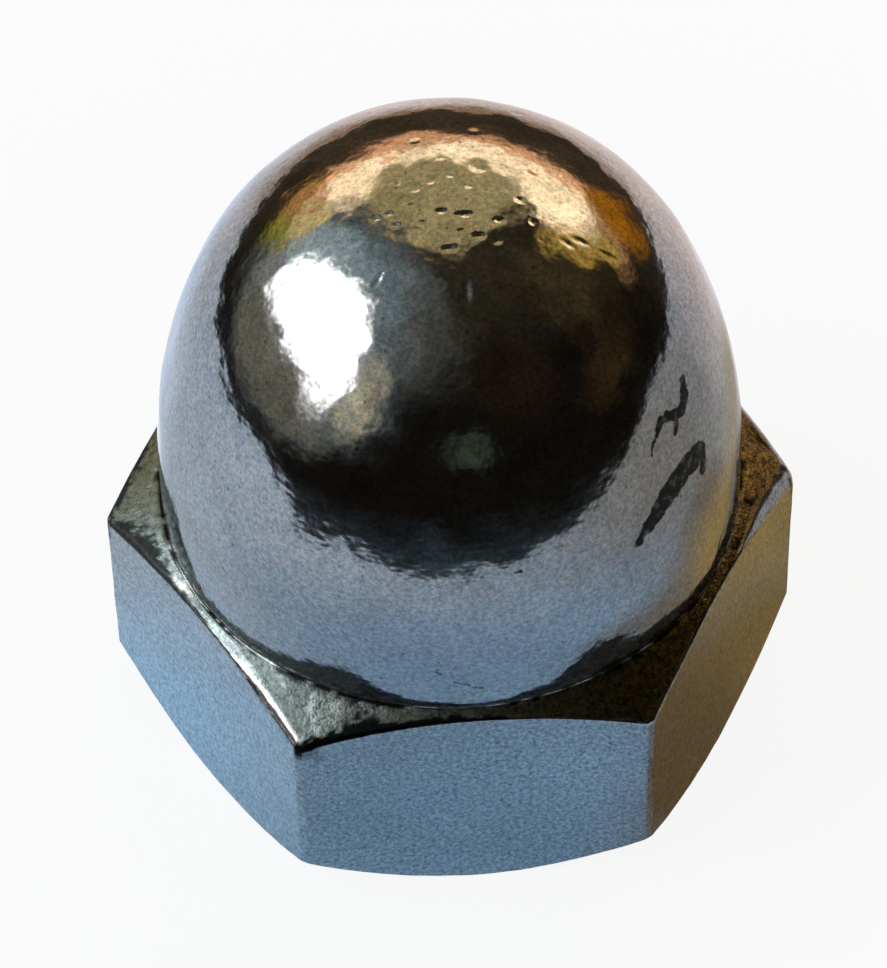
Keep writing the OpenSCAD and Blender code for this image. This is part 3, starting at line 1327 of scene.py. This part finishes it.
def add_room():
    """The room that the metal mirrors, painted on a glowing shell: dark, with a window's highlight
    and a warm wall.
    """
    rows = np.arange(-42, 89.5, 1.5)
    azimuth, elevation = np.meshgrid(AZIMUTHS, rows)
    low, high = (np.array(linear(*c)[:3]) for c in (ROOM_LOW, ROOM_HIGH))
    lift = smooth_step(30, 80, elevation)[..., None]
    way = directions(azimuth, elevation)
    # The patches' edges are frayed a little
    frayed_azimuth = azimuth + 4.0 * lattice_noise(way, 0.11, 33)
    frayed_elevation = elevation + 2.2 * lattice_noise(way, 0.09, 34)
    base = low * (1 - lift) + high * lift
    glow = painted(ROOM_PATCHES, base, frayed_azimuth, frayed_elevation)
    glow = np.vstack([mottled(glow, way, 0.50).reshape(-1, 3), high])
    spots = [toward(a, e) * ROOM_RADIUS for e in rows for a in AZIMUTHS]
    spots.append(Vector((0, 0, ROOM_RADIUS)))
    n = len(AZIMUTHS)
    top = (len(rows) - 1) * n
    faces = closed_rings(len(rows), n)
    faces.extend((top + j, top + (j + 1) % n, len(spots) - 1) for j in range(n))
    return mirrored_mesh("mirrored_room", spots, glow, faces)


def sheet_reach(azimuth):
    """How far the sheet reaches from the axis at each azimuth, mm."""
    front, left, right, back = SHEET
    a = np.radians(azimuth)
    across, along = np.sin(a), np.cos(a)
    side = np.where(across > 0, right, left) / np.maximum(np.abs(across), 1e-6)
    rear = back / np.maximum(along, 1e-6)
    near = front / np.maximum(-along, 1e-6)
    cut = np.where(across < 0, 7.5 * smooth_step(8, 36, near * np.abs(across)), 0)
    cut = np.maximum(cut, 4.5 * smooth_step(12, 45, near * np.abs(across)))
    near = (front - cut) / np.maximum(-along, 1e-6)
    reach = np.minimum(side, np.where(along > 0, rear, near))
    ring = np.stack([across, along, 0 * along], -1)
    ragged = 0.05 * lattice_noise(ring, 0.25, 41) + 0.03 * lattice_noise(ring, 0.08, 42)
    ragged = ragged * np.where(along > 0.6, 6.0, 1.0)
    return reach * (1 + ragged)


# The dome mirrors the sheet from about this radius, where the sheet starts, and this height, mm
MIRROR_R = 5.5
MIRROR_H = 9.5


def add_sheet():
    """The sheet under the nut as the metal mirrors it, with painted light and the nut's painted
    shadows on it.
    """
    share = np.linspace(0, 1, 60)[:, None]
    reach = MIRROR_R * (sheet_reach(AZIMUTHS)[None] / MIRROR_R) ** share
    azimuth = np.broadcast_to(AZIMUTHS, reach.shape)
    # The elevation at which the dome mirrors each distance
    elevation = -np.degrees(np.arctan2(MIRROR_H, reach - MIRROR_R))
    base = np.broadcast_to(np.array(linear(*FLOOR_BASE)[:3]), reach.shape + (3,))
    glow = painted(FLOOR_PATCHES, base, azimuth, elevation)
    glow = mottled(glow, directions(azimuth, elevation), 0.16).reshape(-1, 3)
    a = np.radians(azimuth)
    flat = np.stack([reach * np.sin(a), reach * np.cos(a), 0 * reach], -1).reshape(-1, 3) * MM
    spots = [turned_into_place(v) for v in flat]
    return mirrored_mesh("mirrored_sheet", spots, glow, closed_rings(len(share), len(AZIMUTHS)))


LAMP_DISTANCE = 0.8


def add_lamp(name, azimuth, elevation, width, height, colour, power):
    """A soft lamp aimed at the nut, which mirrors don't see."""
    data = bpy.data.lights.new(name, "AREA")
    data.shape = "RECTANGLE"
    data.size = width
    data.size_y = height
    data.color = colour
    data.energy = power
    lamp = linked(name, data)
    direction = toward(azimuth, elevation)
    lamp.location = direction * LAMP_DISTANCE
    lamp.rotation_mode = "QUATERNION"
    lamp.rotation_quaternion = direction.to_track_quat("Z", "Y")
    lamp.visible_glossy = False


def add_world():
    """White where the camera or a mirror looks past the stage, a weak neutral fill elsewhere."""
    world = bpy.data.worlds.new("world")
    bpy.context.scene.world = world
    world.use_nodes = True
    t = Tree(world.node_tree)
    path = t.node("ShaderNodeLightPath")
    seen = t.maths("MAXIMUM", path.outputs["Is Camera Ray"], path.outputs["Is Glossy Ray"])
    seen = t.maths("MAXIMUM", seen, path.outputs["Is Transmission Ray"])
    strength = t.remap(seen, 0.0, 1.0, 0.06, 1.0)
    back = t.node("ShaderNodeBackground", Color=(1, 1, 1, 1), Strength=strength)
    t.node("ShaderNodeOutputWorld", back.outputs[0])


def set_view():
    """Plain output: no look, and colours as they are written."""
    bpy.context.scene.view_settings.view_transform = "Standard"


# ---------------------------------------------------------------- assembly

add_camera()
add_world()
add_floor()
add_room()
add_sheet()
add_lamp("window_lamp", -96, 38, 0.75, 0.45, (0.55, 0.78, 1.0), 6.0)
add_lamp("warm_lamp", 15, 29, 1.30, 0.35, (1.0, 0.74, 0.45), 4.0)
set_view()

nut = build_nut()
finish_nut(nut)
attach(nut, "root")
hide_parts("cap_nut")
